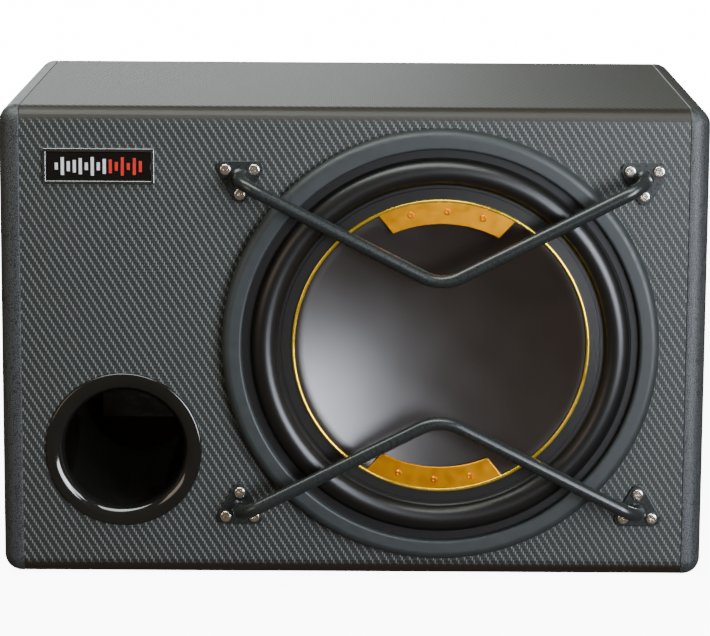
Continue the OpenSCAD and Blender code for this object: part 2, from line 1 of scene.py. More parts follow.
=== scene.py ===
from math import atan, cos, hypot, pi, radians, sin, sqrt, tan

import bmesh
import bpy
from mathutils import Euler, Matrix, Vector


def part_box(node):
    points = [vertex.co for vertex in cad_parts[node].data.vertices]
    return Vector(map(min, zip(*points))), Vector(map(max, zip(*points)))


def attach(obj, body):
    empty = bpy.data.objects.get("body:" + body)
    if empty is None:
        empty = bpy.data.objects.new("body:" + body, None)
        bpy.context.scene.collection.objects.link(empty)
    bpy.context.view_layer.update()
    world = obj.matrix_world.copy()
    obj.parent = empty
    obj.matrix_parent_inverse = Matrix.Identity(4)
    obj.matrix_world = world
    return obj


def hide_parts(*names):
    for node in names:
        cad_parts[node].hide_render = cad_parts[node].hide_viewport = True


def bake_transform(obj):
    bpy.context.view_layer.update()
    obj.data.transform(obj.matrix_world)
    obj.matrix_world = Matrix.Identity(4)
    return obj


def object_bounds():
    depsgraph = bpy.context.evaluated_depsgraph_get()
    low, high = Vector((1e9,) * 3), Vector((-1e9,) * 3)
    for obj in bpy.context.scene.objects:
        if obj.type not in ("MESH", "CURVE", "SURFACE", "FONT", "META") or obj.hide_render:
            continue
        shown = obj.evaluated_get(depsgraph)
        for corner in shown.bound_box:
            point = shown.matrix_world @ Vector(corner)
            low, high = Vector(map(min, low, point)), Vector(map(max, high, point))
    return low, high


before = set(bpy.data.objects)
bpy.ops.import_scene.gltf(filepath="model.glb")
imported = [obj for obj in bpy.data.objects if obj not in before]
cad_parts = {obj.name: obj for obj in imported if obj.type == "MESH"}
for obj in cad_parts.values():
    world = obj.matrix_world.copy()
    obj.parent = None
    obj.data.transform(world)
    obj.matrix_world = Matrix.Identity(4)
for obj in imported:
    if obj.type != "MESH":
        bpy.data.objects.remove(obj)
cad_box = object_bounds()
mm = 0.001


# ---------- camera, light and floor ----------
# The box is seen from straight in front and a little above, through a long lens.
# A window stands at the front right and a wide panel below it; a soft light hangs over the front.
# The floor and the background are nearly white, and the floor throws no light back up.

camera = bpy.data.objects.new("camera", bpy.data.cameras.new("camera"))
bpy.context.collection.objects.link(camera)
camera.data.lens = 152.65
camera.data.sensor_width = 36
camera.data.shift_y = -0.1
camera.location = (0.0007, -2.2243, 0.6001)
looking_down = Euler((radians(90 - 9.811), 0, 0)).to_matrix()
camera.rotation_euler = (looking_down @ Matrix.Rotation(radians(0.333), 3, "Z")).to_euler()
bpy.context.scene.camera = camera


def linear(hex_colour):
    """An sRGB hex colour as the linear values that shaders take."""
    parts = [int(hex_colour[k:k + 2], 16) / 255 for k in (1, 3, 5)]
    return [p / 12.92 if p <= 0.04045 else ((p + 0.055) / 1.055) ** 2.4 for p in parts] + [1]


def add_node(tree, kind, settings=None, inputs=None):
    """Adds a node, sets its properties, and fills its sockets with values or links."""
    made = tree.nodes.new("ShaderNode" + kind)
    for name, value in (settings or {}).items():
        setattr(made, name, value)
    for socket, value in (inputs or {}).items():
        if isinstance(value, bpy.types.NodeSocket):
            tree.links.new(value, made.inputs[socket])
        else:
            made.inputs[socket].default_value = value
    return made


target = (cad_box[0] + cad_box[1]) / 2
for name, place, size, power, colour in (
    ("window", (1.35, -1.55, 0.95), (0.6, 1.0), 26, "#e8effa"),
    ("panel", (1.1, -1.8, 0.3), (1.0, 0.9), 62, "#e8eefa"),
    ("warm_fill", (-1.6, -1.3, 0.7), (0.9, 0.9), 7, "#ffe9d2"),
    ("overhead", (-0.3, -0.45, 1.45), (1.8, 0.5), 30, "#f2fbf6"),
    ("rear_fill", (-0.6, 1.7, 0.9), (1.6, 0.8), 12, "#f4f6fa"),
):
    light = bpy.data.objects.new(name, bpy.data.lights.new(name, "AREA"))
    light.data.shape = "RECTANGLE"
    light.data.size, light.data.size_y = size
    light.data.energy = power
    light.data.color = linear(colour)[:3]
    light.location = place
    light.rotation_euler = (target - Vector(place)).to_track_quat("-Z", "Y").to_euler()
    bpy.context.collection.objects.link(light)

world = bpy.data.worlds.new("white_studio")
bpy.context.scene.world = world
world.use_nodes = True
sky = world.node_tree
sky.nodes.clear()
seen = add_node(sky, "Background", inputs={0: linear("#ffffff"), 1: 16.0})
lit = add_node(sky, "Background", inputs={0: linear("#c0ae98"), 1: 0.24})
ray = add_node(sky, "LightPath")
both = add_node(sky, "MixShader",
                inputs={0: ray.outputs["Is Camera Ray"], 1: lit.outputs[0], 2: seen.outputs[0]})
add_node(sky, "OutputWorld", inputs={0: both.outputs[0]})


def new_material(name):
    """An empty material: its node tree, its shader and the object's own coordinates."""
    material = bpy.data.materials.new(name)
    material.use_nodes = True
    tree = material.node_tree
    place = add_node(tree, "TexCoord").outputs["Object"]
    return material, tree, tree.nodes["Principled BSDF"], place


def grained(name, dark, light, grain, roughness, relief=0.02, metallic=0.0, coat=0.0, spread=0.06):
    """A finish whose shade, gloss and surface vary over grains of a real size in millimetres."""
    material, tree, shader, place = new_material(name)
    noise = add_node(tree, "TexNoise", inputs={"Vector": place, "Scale": 1 / (grain * mm), "Detail": 4})
    shade = add_node(tree, "Mix", {"data_type": "RGBA"},
                     {0: noise.outputs["Fac"], 6: linear(dark), 7: linear(light)})
    tree.links.new(shade.outputs[2], shader.inputs["Base Color"])
    gloss = add_node(tree, "MapRange", inputs={0: noise.outputs["Fac"], 1: 0.3, 2: 0.7,
                                               3: roughness - spread, 4: roughness + spread})
    tree.links.new(gloss.outputs[0], shader.inputs["Roughness"])
    bump = add_node(tree, "Bump", inputs={"Strength": 1.0, "Distance": relief * mm,
                                          "Height": noise.outputs["Fac"]})
    tree.links.new(bump.outputs[0], shader.inputs["Normal"])
    shader.inputs["Metallic"].default_value = metallic
    shader.inputs["Coat Weight"].default_value = coat
    shader.inputs["Coat Roughness"].default_value = 0.06
    return material


bpy.ops.object.select_all(action="DESELECT")
bpy.ops.mesh.primitive_plane_add(size=4, location=(0, 0, -0.0005))
floor = bpy.context.object
floor.name = "floor"
# Matt painted board: pale and even, with hardly any sheen.
board = grained("matt_white_board", "#f6f6f4", "#ffffff", 40, 0.85, relief=0.0)
board.node_tree.nodes["Principled BSDF"].inputs["Emission Color"].default_value = linear("#ffffff")
board.node_tree.nodes["Principled BSDF"].inputs["Emission Strength"].default_value = 9.0
floor.data.materials.append(board)
floor.visible_diffuse = False
floor.visible_glossy = False


# ---------- enclosure boards ----------
# Front, rear, top and bottom boards, cut from medium density fibreboard and glued.
# Their faces are covered, so only their sawn edges show inside the cut-outs.

def dress(material, *nodes):
    """Gives CAD nodes a finish."""
    for name in nodes:
        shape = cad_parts[name].data
        shape.materials.clear()
        shape.materials.append(material)


# MDF: pressed wood fibre, so it is even, tan and matt, with a fleck finer than a grain of rice.
mdf = grained("fibreboard", "#8d6a45", "#b8946a", 1.2, 0.8, relief=0.05)
dress(mdf, "front_baffle", "rear_panel", "top_panel", "bottom_panel")


# ---------- centre wrap ----------
# A sheet of carbon-look vinyl, glued round the front, top, rear and bottom boards.
# Its embossed yarns stand up on the flat faces and are pulled smooth round the edges, where a dark brown
# painted reflection covers them.

def copied(node, bevel=0.0, rounded=0):
    """A merged copy of a CAD node as the active object, its edges bevelled or the whole of it rounded."""
    bpy.ops.object.select_all(action="DESELECT")
    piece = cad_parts[node].copy()
    piece.data = piece.data.copy()
    bpy.context.collection.objects.link(piece)
    piece.parent = None
    for key in list(piece.keys()):
        del piece[key]
    piece.select_set(True)
    bpy.context.view_layer.objects.active = piece
    bpy.ops.object.mode_set(mode="EDIT")
    bpy.ops.mesh.select_all(action="SELECT")
    bpy.ops.mesh.remove_doubles(threshold=0.002 * mm)
    if bevel:
        bpy.ops.mesh.dissolve_limited(angle_limit=radians(0.5))
        bpy.ops.object.mode_set(mode="OBJECT")
        soft = piece.modifiers.new("soft_edges", "BEVEL")
        soft.width = bevel * mm
        soft.segments = 3
        soft.limit_method = "ANGLE"
        soft.angle_limit = radians(40)
        bpy.ops.object.modifier_apply(modifier=soft.name)
    if rounded:
        bpy.ops.mesh.tris_convert_to_quads()
        bpy.ops.object.mode_set(mode="OBJECT")
        smooth = piece.modifiers.new("rounded", "SUBSURF")
        smooth.levels = rounded
        smooth.render_levels = rounded
        bpy.ops.object.modifier_apply(modifier=smooth.name)


def keep(name, material, slot, body, *nodes, angle=35):
    """Finishes the active object as a piece of the part, in place of the CAD nodes named."""
    if bpy.context.mode != "OBJECT":
        bpy.ops.object.mode_set(mode="OBJECT")
    piece = bpy.context.object
    piece.name = name
    piece.data.name = name
    bpy.ops.object.transform_apply(location=True, rotation=True, scale=True)
    bpy.ops.object.shade_smooth_by_angle(angle=radians(angle))
    piece.data.materials.clear()
    piece.data.materials.append(material)
    if body:
        even = piece.modifiers.new("even_shading", "WEIGHTED_NORMAL")
        even.keep_sharp = True
        bpy.ops.object.modifier_apply(modifier=even.name)
        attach(piece, body)
    if nodes:
        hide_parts(*nodes)
    return piece


yarn_width = 1.4 * mm
yarn_step = 2.2 * mm
yarns_in_repeat = 4

# Embossed PVC film: dull charcoal yarns, with painted shade in the creases between them and a painted highlight
# on one float in four, where the light catches it.
vinyl, tree, shader, place = new_material("carbon_look_vinyl")
axes = add_node(tree, "SeparateXYZ", inputs={0: place})
over_edge = add_node(tree, "Math", {"operation": "ADD"}, {0: axes.outputs["Y"], 1: axes.outputs["Z"]})
columns = add_node(tree, "Math", {"operation": "DIVIDE"}, {0: axes.outputs["X"], 1: yarn_width})
column = add_node(tree, "Math", {"operation": "FLOOR"}, {0: columns.outputs[0]})
across = add_node(tree, "Math", {"operation": "FRACT"}, {0: columns.outputs[0]})
rows = add_node(tree, "Math", {"operation": "DIVIDE"}, {0: over_edge.outputs[0], 1: yarn_step})
shifted = add_node(tree, "Math", {"operation": "ADD"}, {0: rows.outputs[0], 1: column.outputs[0]})
repeats = add_node(tree, "Math", {"operation": "DIVIDE"}, {0: shifted.outputs[0], 1: yarns_in_repeat})
phase = add_node(tree, "Math", {"operation": "FRACT"}, {0: repeats.outputs[0]})
half_turn = add_node(tree, "Math", {"operation": "MULTIPLY"}, {0: across.outputs[0], 1: pi})
round_yarn = add_node(tree, "Math", {"operation": "SINE"}, {0: half_turn.outputs[0]})
rise = add_node(tree, "MapRange", {"interpolation_type": "SMOOTHSTEP"}, {0: phase.outputs[0], 1: 0.0, 2: 0.1})
fall = add_node(tree, "MapRange", {"interpolation_type": "SMOOTHSTEP"},
                {0: phase.outputs[0], 1: 0.3, 2: 0.42, 3: 1.0, 4: 0.0})
on_top = add_node(tree, "Math", {"operation": "MULTIPLY"}, {0: rise.outputs[0], 1: fall.outputs[0]})
pale = add_node(tree, "Math", {"operation": "MULTIPLY"}, {0: on_top.outputs[0], 1: round_yarn.outputs[0]})
picks = add_node(tree, "Math", {"operation": "FRACT"}, {0: shifted.outputs[0]})
pick_turn = add_node(tree, "Math", {"operation": "MULTIPLY"}, {0: picks.outputs[0], 1: pi})
pick_round = add_node(tree, "Math", {"operation": "SINE"}, {0: pick_turn.outputs[0]})
pits = add_node(tree, "Math", {"operation": "MULTIPLY"}, {0: pick_round.outputs[0], 1: round_yarn.outputs[0]})
# Painted shade and highlight: each yarn's colour darkens towards the creases at its edges, and one float in
# four is painted pale.
ground = add_node(tree, "Mix", {"data_type": "RGBA"},
                  {0: pits.outputs[0], 6: linear("#0e1011"), 7: linear("#292c2a")})
woven = add_node(tree, "Mix", {"data_type": "RGBA"},
                 {0: pale.outputs[0], 6: ground.outputs[2], 7: linear("#646862")})
# Painted reflection: on the rounded edges the colour turns to a dark brown that stands for the surroundings
# mirrored there; the yarn relief fades out there too.
facing = add_node(tree, "SeparateXYZ", inputs={0: add_node(tree, "NewGeometry").outputs["Normal"]})
slope = add_node(tree, "Math", {"operation": "MULTIPLY"}, {0: facing.outputs["Y"], 1: facing.outputs["Z"]})
slope_size = add_node(tree, "Math", {"operation": "ABSOLUTE"}, {0: slope.outputs[0]})
edge_stretch_and_painted_reflection = add_node(tree, "MapRange", {"interpolation_type": "SMOOTHSTEP"},
                     {0: slope_size.outputs[0], 1: 0.03, 2: 0.42})
vinyl_colour = add_node(tree, "Mix", {"data_type": "RGBA"},
                        {0: edge_stretch_and_painted_reflection.outputs[0], 6: woven.outputs[2], 7: linear("#1f1812")})
tree.links.new(vinyl_colour.outputs[2], shader.inputs["Base Color"])
yarn_height = add_node(tree, "Math", {"operation": "ADD"}, {0: pale.outputs[0], 1: pits.outputs[0]})
smooth_edge = add_node(tree, "Math", {"operation": "SUBTRACT"}, {0: 1.0, 1: edge_stretch_and_painted_reflection.outputs[0]})
relief = add_node(tree, "Math", {"operation": "MULTIPLY"},
                  {0: yarn_height.outputs[0], 1: smooth_edge.outputs[0]})
bump = add_node(tree, "Bump", inputs={"Strength": 0.6, "Distance": 0.12 * mm, "Height": relief.outputs[0]})
tree.links.new(bump.outputs[0], shader.inputs["Normal"])
shader.inputs["Roughness"].default_value = 0.5

copied("centre_wrap")
keep("vinyl_wrap", vinyl, "carbon_vinyl", "enclosure", "centre_wrap", angle=30)
face_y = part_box("centre_wrap")[0].y


# ---------- side panels ----------
# Two boards with all their outer edges rounded over, covered in black leatherette.
# The inner edge is slightly eased, so a fine V shows where each one meets the wrap.

def pick(kind, test):
    """In edit mode, selects only the vertices, edges or faces whose middle passes the test."""
    bpy.ops.mesh.select_mode(type=kind)
    bpy.ops.mesh.select_all(action="DESELECT")
    shape = bmesh.from_edit_mesh(bpy.context.object.data)
    for item in {"VERT": shape.verts, "EDGE": shape.edges, "FACE": shape.faces}[kind]:
        corners = [item.co] if kind == "VERT" else [v.co for v in item.verts]
        if test(sum(corners, Vector()) / len(corners)):
            item.select_set(True)
    shape.select_flush_mode()
    bmesh.update_edit_mesh(bpy.context.object.data)


def add_block(low, high):
    """A block between two corners as the active object, in edit mode, its place in its mesh."""
    bpy.ops.object.select_all(action="DESELECT")
    bpy.ops.mesh.primitive_cube_add(size=1, location=(low + high) / 2)
    bpy.context.object.scale = high - low
    bpy.ops.object.transform_apply(location=True, rotation=True, scale=True)
    bpy.ops.object.mode_set(mode="EDIT")


# PVC leatherette: near black and half matt, with a pebble grain of about a millimetre.
pebble = 1.3
leather, tree, shader, place = new_material("black_leatherette")
warp = add_node(tree, "TexNoise", inputs={"Vector": place, "Scale": 1 / (2.2 * mm), "Detail": 3})
pebbles = add_node(tree, "TexVoronoi", {"feature": "DISTANCE_TO_EDGE"},
                   {"Vector": place, "Scale": 1 / (pebble * mm)})
crease = add_node(tree, "MapRange", {"interpolation_type": "SMOOTHSTEP"},
                  {0: pebbles.outputs["Distance"], 2: 0.22})
height = add_node(tree, "Math", {"operation": "MULTIPLY_ADD"},
                  {0: warp.outputs["Fac"], 1: 0.7, 2: crease.outputs[0]})
# Painted shade and highlight: the creases between the pebbles are painted near black and the pebble tops a
# lighter grey.
shade = add_node(tree, "Mix", {"data_type": "RGBA"},
                 {0: crease.outputs[0], 6: linear("#0a0b0b"), 7: linear("#454849")})
tree.links.new(shade.outputs[2], shader.inputs["Base Color"])
bump = add_node(tree, "Bump", inputs={"Strength": 0.6, "Distance": 0.13 * mm, "Height": height.outputs[0]})
tree.links.new(bump.outputs[0], shader.inputs["Normal"])
shader.inputs["Roughness"].default_value = 0.42

edge_radius = 12.5 * mm
eased_edge = 0.9 * mm
for side, node in ((-1, "left_side_panel"), (1, "right_side_panel")):
    low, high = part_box(node)
    inner_x = high.x if side < 0 else low.x
    add_block(low, high)
    pick("EDGE", lambda at: abs(at.x - inner_x) > 0.1 * mm)
    bpy.ops.mesh.bevel(offset=edge_radius, segments=12, profile=0.5)
    pick("EDGE", lambda at: abs(at.x - inner_x) < 0.01 * mm)
    bpy.ops.mesh.bevel(offset=eased_edge, segments=3, profile=0.5)
    keep(node + "_cover", leather, "leatherette", "enclosure", node, angle=40)


# ---------- damping pad ----------
# A pad of loose polyester wadding, stapled inside the rear board.
# It is white, soft and open, with tufts about a centimetre across.

wadding = grained("polyester_wadding", "#c9c8c2", "#f4f3ee", 9, 0.95, relief=3.0)
dress(wadding, "damping_pad")


# ---------- port ----------
# A moulded tube with a flared mouth and a thin flange, pushed in from the front and glued.
# It is injection-moulded ABS from a polished tool, so it is deep black and shiny.

def arc(centre_r, centre_h, radius, start, end, steps):
    """Points of a section along an arc, angles in degrees from the radial direction."""
    turn = [radians(start + (end - start) * k / steps) for k in range(steps + 1)]
    return [(centre_r + radius * cos(a), centre_h + radius * sin(a)) for a in turn]


def turned(outline, centre, steps=180, angle=2 * pi, start=0.0, closed=True):
    """Extrudes a section point by point, radius and height in mm, and spins it about the front-facing axis."""
    turn = Matrix.Rotation(-start, 3, "Y")
    path = [turn @ Vector((r * mm, -h * mm, 0)) + Vector(centre) for r, h in outline]
    bpy.ops.object.select_all(action="DESELECT")
    bpy.ops.mesh.primitive_plane_add(size=0.1 * mm, location=path[0])
    bpy.ops.object.transform_apply(location=True)
    bpy.ops.object.mode_set(mode="EDIT")
    bpy.ops.mesh.select_mode(type="VERT")
    bpy.ops.mesh.merge(type="CENTER")
    for here, there in zip(path, path[1:] + (path[:1] if closed else [])):
        bpy.ops.mesh.extrude_vertices_move(TRANSFORM_OT_translate={"value": there - here})
    bpy.ops.mesh.select_all(action="SELECT")
    bpy.ops.mesh.remove_doubles(threshold=0.001 * mm)
    # the spin operator turns left-handed
    bpy.ops.mesh.spin(steps=steps, angle=-angle, center=centre, axis=(0, -1, 0))
    bpy.ops.mesh.select_all(action="SELECT")
    bpy.ops.mesh.remove_doubles(threshold=0.001 * mm)
    bpy.ops.mesh.normals_make_consistent(inside=False)


port_low, port_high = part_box("port_tube")
port_rim = (port_high.x - port_low.x) / 2 / mm
port_end = (face_y - port_high.y) / mm
port_axis = Vector(((port_low.x + port_high.x) / 2, face_y, (port_low.z + port_high.z) / 2))
throat, flare, lip, wall = 42.4, 9.0, 2.5, 2.2
gloss_black = grained("gloss_black_abs", "#111110", "#181715", 18, 0.12, relief=0.006, coat=0.6, spread=0.02)
turned(
    [(throat, port_end)]
    + arc(throat + flare, lip - flare, flare, 180, 90, 16)
    + arc(port_rim - 1.6, lip - 1.6, 1.6, 90, 0, 6)
    + [(port_rim, 0.05), (throat + flare, 0.05)]
    + arc(throat + flare, lip - flare, flare - wall, 90, 180, 8)
    + [(throat + wall, port_end)],
    port_axis,
)
keep("flared_port", gloss_black, "port_plastic", "enclosure", "port_tube", angle=30)


# ---------- badge ----------
# A small plate under a clear dome, set in a dark plated frame and stuck to the front.
# In place of lettering it carries a plain row of level bars, pressed in foil.

chrome = grained("dark_chrome_plate", "#7e8286", "#92969a", 5, 0.2, relief=0.001, metallic=1.0, spread=0.02)
# Clear resin over black print: a wet, deep gloss with no grain of its own.
domed_black = grained("resin_over_black", "#050505", "#0c0b0b", 22, 0.07, relief=0.005, coat=0.8, spread=0.02)
silver_foil = grained("silver_foil", "#c4c6c8", "#e6e8ea", 2, 0.45, relief=0.005, metallic=0.2)
red_foil = grained("red_foil", "#b01a14", "#d8342a", 2, 0.4, relief=0.005, metallic=0.2)
plate_low, plate_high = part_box("badge_plate")
copied("badge_frame", bevel=0.6)
keep("badge_bezel", chrome, "badge_chrome", "enclosure", "badge_frame", angle=50)
add_block(plate_low, plate_high)
pick("EDGE", lambda at: at.y < plate_low.y + 0.1 * mm)
bpy.ops.mesh.bevel(offset=0.5 * mm, segments=3, profile=0.5)
keep("badge_dome", domed_black, "badge_gloss", "enclosure", "badge_plate", angle=50)

badge_middle = (plate_low + plate_high) / 2
bar_count = 15
bar_pitch = 4.2 * mm
for colour_name, foil, chosen in (("silver", silver_foil, lambda k: k < 9), ("red", red_foil, lambda k: k > 8)):
    made = []
    for k in filter(chosen, range(bar_count)):
        half_height = (2.4 + 4.2 * sin(k * 1.3) ** 2) * mm
        x = badge_middle.x + (k - (bar_count - 1) / 2) * bar_pitch
        add_block(Vector((x - 1.1 * mm, plate_low.y - 0.1 * mm, badge_middle.z - half_height)),
                  Vector((x + 1.1 * mm, plate_low.y + 0.2 * mm, badge_middle.z + half_height)))
        pick("EDGE", lambda at: at.y < plate_low.y - 0.05 * mm)
        bpy.ops.mesh.bevel(offset=0.06 * mm, segments=2, profile=0.5)
        bpy.ops.object.mode_set(mode="OBJECT")
        made.append(bpy.context.object)
    for part in made:
        part.select_set(True)
    bpy.ops.object.join()
    keep("badge_bars_" + colour_name, foil, "badge_chrome", "enclosure")


# ---------- guard bars ----------
# Two bent steel tubes in front of the cone, each welded to a foot plate at both ends.
# Each is bent at the elbows and once in the middle, then powder coated satin black with its feet.

driver_low, driver_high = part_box("driver_seal")
driver = Vector(((driver_low.x + driver_high.x) / 2, driver_low.y, (driver_low.z + driver_high.z) / 2))
foot_t = 2.2
foot_dx, foot_dz, vertex_dz = 141.8, 119.2, 47.0
bar_r, bar_reach, elbow_r, middle_r = 4.75, 27.5, 17.0, 30.0
limb_angle = atan((foot_dz - vertex_dz) / foot_dx)
limb_l = hypot(foot_dx, foot_dz - vertex_dz)
straight_l = limb_l - elbow_r - middle_r * tan(limb_angle)

# Powder coat: satin black with a faint orange peel about 2 mm across.
powder = grained("satin_black_powder_coat", "#1c1f1f", "#242827", 2.2, 0.28, relief=0.004, spread=0.02)


def bend_tube(angle, centre, axis, steps):
    """Carries the selected end of a tube round a bend, right-handed about the axis."""
    bpy.ops.mesh.spin(steps=steps, angle=-angle, center=centre, axis=axis)


for up, name in ((1, "upper_guard_bar"), (-1, "lower_guard_bar")):
    bpy.ops.object.select_all(action="DESELECT")
    foot = Vector((driver.x - foot_dx * mm, face_y - foot_t * mm, driver.z + up * foot_dz * mm))
    inward = Vector((cos(limb_angle), 0, -up * sin(limb_angle)))
    side = Vector((0, -1, 0)).cross(inward)
    bpy.ops.mesh.primitive_circle_add(vertices=40, radius=bar_r * mm, location=foot, rotation=(pi / 2, 0, 0))
    bpy.ops.object.transform_apply(location=True, rotation=True)
    bpy.ops.object.mode_set(mode="EDIT")
    bpy.ops.mesh.select_all(action="SELECT")
    post = (bar_reach - elbow_r - foot_t) * mm
    bpy.ops.mesh.extrude_region_move(TRANSFORM_OT_translate={"value": (0, -post, 0)})
    elbow = foot + Vector((0, -post, 0)) + inward * elbow_r * mm
    bend_tube(pi / 2, elbow, side, 14)
    bpy.ops.mesh.extrude_region_move(TRANSFORM_OT_translate={"value": inward * straight_l * mm})
    hub = Vector((driver.x, face_y - bar_reach * mm,
                  driver.z + up * (vertex_dz + middle_r / cos(limb_angle)) * mm))
    bend_tube(2 * limb_angle, hub, (0, -up, 0), 22)
    outward = Vector((inward.x, 0, -inward.z))
    bpy.ops.mesh.extrude_region_move(TRANSFORM_OT_translate={"value": outward * straight_l * mm})
    far_elbow = Vector((2 * driver.x - elbow.x, elbow.y, elbow.z))
    bend_tube(pi / 2, far_elbow, Vector((0, -1, 0)).cross(outward), 14)
    bpy.ops.mesh.extrude_region_move(TRANSFORM_OT_translate={"value": (0, post, 0)})
    bpy.ops.mesh.select_all(action="SELECT")
    bpy.ops.mesh.remove_doubles(threshold=0.001 * mm)
    bpy.ops.mesh.select_mode(type="EDGE")
    bpy.ops.mesh.select_all(action="DESELECT")
    bpy.ops.mesh.select_non_manifold()
    bpy.ops.mesh.edge_face_add()
    bpy.ops.mesh.select_all(action="SELECT")
    bpy.ops.mesh.normals_make_consistent(inside=False)
    keep(name.replace("guard_bar", "guard_tube"), powder, "bar_paint", "enclosure", name, angle=45)


# ---------- guard feet and screws ----------
# Each foot is a pressed triangular plate with rounded corners, welded to the tube in a small bead.
# Three nickel-plated pan-head screws with a cross recess hold it to the board.

foot_screw_r, foot_corner_r = 11.7, 5.8
head_r, head_h = 4.1, 2.4
nickel = grained("bright_nickel_plate", "#eae2d6", "#fbf6ee", 3, 0.2, relief=0.005, metallic=1.0, spread=0.04)


def foot_places():
    """Each foot's middle, with its side and its up or down."""
    for up, row in ((1, "upper"), (-1, "lower")):
        for side, hand in ((-1, "left"), (1, "right")):
            at = Vector((driver.x + side * foot_dx * mm, face_y, driver.z + up * foot_dz * mm))
            yield at, up, row + "_" + hand


for at, up, where in foot_places():
    bpy.ops.object.select_all(action="DESELECT")
    bpy.ops.mesh.primitive_cylinder_add(vertices=3, radius=(foot_screw_r + 2 * foot_corner_r) * mm,
                                        depth=foot_t * mm, location=at + Vector((0, -foot_t * mm / 2, 0)),
                                        rotation=(pi / 2, pi if up > 0 else 0, 0))
    bpy.ops.object.transform_apply(location=True, rotation=True)
    bpy.ops.object.mode_set(mode="EDIT")
    pick("EDGE", lambda p: abs(p.y - at.y + foot_t * mm / 2) < 0.1 * mm)
    bpy.ops.mesh.bevel(offset=foot_corner_r * sqrt(3) * mm, segments=10, profile=0.5)
    pick("EDGE", lambda p: p.y < at.y - foot_t * mm + 0.05 * mm)
    bpy.ops.mesh.bevel(offset=0.5 * mm, segments=3, profile=0.5)
    bpy.ops.object.mode_set(mode="OBJECT")
    plate = bpy.context.object
    bpy.ops.mesh.primitive_cone_add(vertices=40, radius1=(bar_r + 1.7) * mm, radius2=(bar_r + 0.1) * mm,
                                    depth=1.8 * mm, location=at + Vector((0, -(foot_t + 0.85) * mm, 0)),
                                    rotation=(pi / 2, 0, 0))
    plate.select_set(True)
    bpy.context.view_layer.objects.active = plate
    bpy.ops.object.join()
    keep("foot_" + where, powder, "bar_paint", "enclosure", "foot_plate_" + where, angle=40)


def pan_head_screw(radius, height):
    """A pan head with a cross recess as the active object, its seat at the origin, facing forwards."""
    bpy.ops.object.select_all(action="DESELECT")
    bpy.ops.mesh.primitive_cylinder_add(vertices=40, radius=radius * mm, depth=height * mm,
                                        location=(0, 0, height * mm / 2))
    bpy.ops.object.transform_apply(location=True)
    head = bpy.context.object
    bpy.ops.object.mode_set(mode="EDIT")
    pick("EDGE", lambda p: p.z > height * mm - 0.01 * mm)
    bpy.ops.mesh.bevel(offset=0.62 * height * mm, segments=7, profile=0.55)
    bpy.ops.object.mode_set(mode="OBJECT")
    for turn in (0, pi / 2):
        bpy.ops.mesh.primitive_cube_add(size=1, location=(0, 0, height * 0.85 * mm))
        slot = bpy.context.object
        slot.scale = (radius * 1.1 * mm, radius * 0.26 * mm, height * 1.0 * mm)
        slot.rotation_euler = (0, 0, turn)
        bpy.ops.object.transform_apply(location=True, rotation=True, scale=True)
        bpy.ops.object.mode_set(mode="EDIT")
        pick("FACE", lambda p: p.z < height * 0.4 * mm)
        bpy.ops.transform.resize(value=(0.45, 0.45, 1))
        bpy.ops.object.mode_set(mode="OBJECT")
        cut = head.modifiers.new("cross_recess", "BOOLEAN")
        cut.operation = "DIFFERENCE"
        cut.object = slot
        bpy.ops.object.select_all(action="DESELECT")
        head.select_set(True)
        bpy.context.view_layer.objects.active = head
        bpy.ops.object.modifier_apply(modifier=cut.name)
        bpy.data.objects.remove(slot)
    return head


def set_screws(head, places, facing, name, material, slot, node):
    """Copies a screw to each place, each turned differently as screws are, and joins them."""
    made = []
    for k, at in enumerate(places):
        screw = head.copy()
        screw.data = head.data.copy()
        bpy.context.collection.objects.link(screw)
        screw.data.transform(Matrix.Translation(at) @ facing @ Matrix.Rotation(radians(37 * k + 15), 4, "Z"))
        made.append(screw)
    bpy.data.objects.remove(head)
    bpy.ops.object.select_all(action="DESELECT")
    for screw in made:
        screw.select_set(True)
    bpy.context.view_layer.objects.active = made[0]
    bpy.ops.object.join()
    return keep(name, material, slot, "enclosure", node, angle=35)


forwards = Matrix.Rotation(pi / 2, 4, "X")
backwards = Matrix.Rotation(-pi / 2, 4, "X")
screw_places = [
    at + Vector((foot_screw_r * cos(a), -foot_t, foot_screw_r * sin(a))) * mm
    for at, up, where in foot_places()
    for a in [radians(-90 * up + 120 * k) for k in range(3)]
]
set_screws(pan_head_screw(head_r, head_h), screw_places, forwards,
           "guard_screw_heads", nickel, "screw_nickel", "guard_screws")


# ---------- trim ring and driver flange ----------
# A moulded rubber ring pressed over the steel flange, which hides the eight mounting screws.
# A foam seal under the flange closes the joint with the board.

# Moulded rubber from a sanded tool: charcoal, dull, with a faint mottle.
trim_rubber = grained("moulded_trim_rubber", "#212525", "#2d3232", 7, 0.5, relief=0.03)
foam_rubber = grained("closed_cell_foam", "#0c0c0d", "#1c1c1e", 0.8, 0.95, relief=0.1)
black_coat = grained("black_coated_steel", "#101112", "#1b1d1e", 1.5, 0.45, relief=0.02)
black_oxide = grained("black_oxide_steel", "#15151a", "#2a2a2e", 2, 0.4, relief=0.01, metallic=0.8)
trim_low, trim_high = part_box("trim_ring")
trim_r = (trim_high.x - trim_low.x) / 2 / mm
trim_top = (driver.y - trim_low.y) / mm
trim_in_r, trim_round, trim_in_round = trim_r - 14, 6.0, 2.0
groove_in, groove_out, groove_top = 142.7, 152.3, 5.0
turned(
    [(trim_in_r, 2.05)]
    + arc(trim_in_r + trim_in_round, trim_top - trim_in_round, trim_in_round, 180, 90, 6)
    + arc(trim_r - trim_round, trim_top - trim_round, trim_round, 90, 0, 12)
    + [(trim_r, -0.95), (trim_r - 0.9, -0.95), (trim_r - 0.9, 2.05), (groove_out, 2.05),
       (groove_out, groove_top), (groove_in, groove_top), (groove_in, 2.05)],
    driver,
)
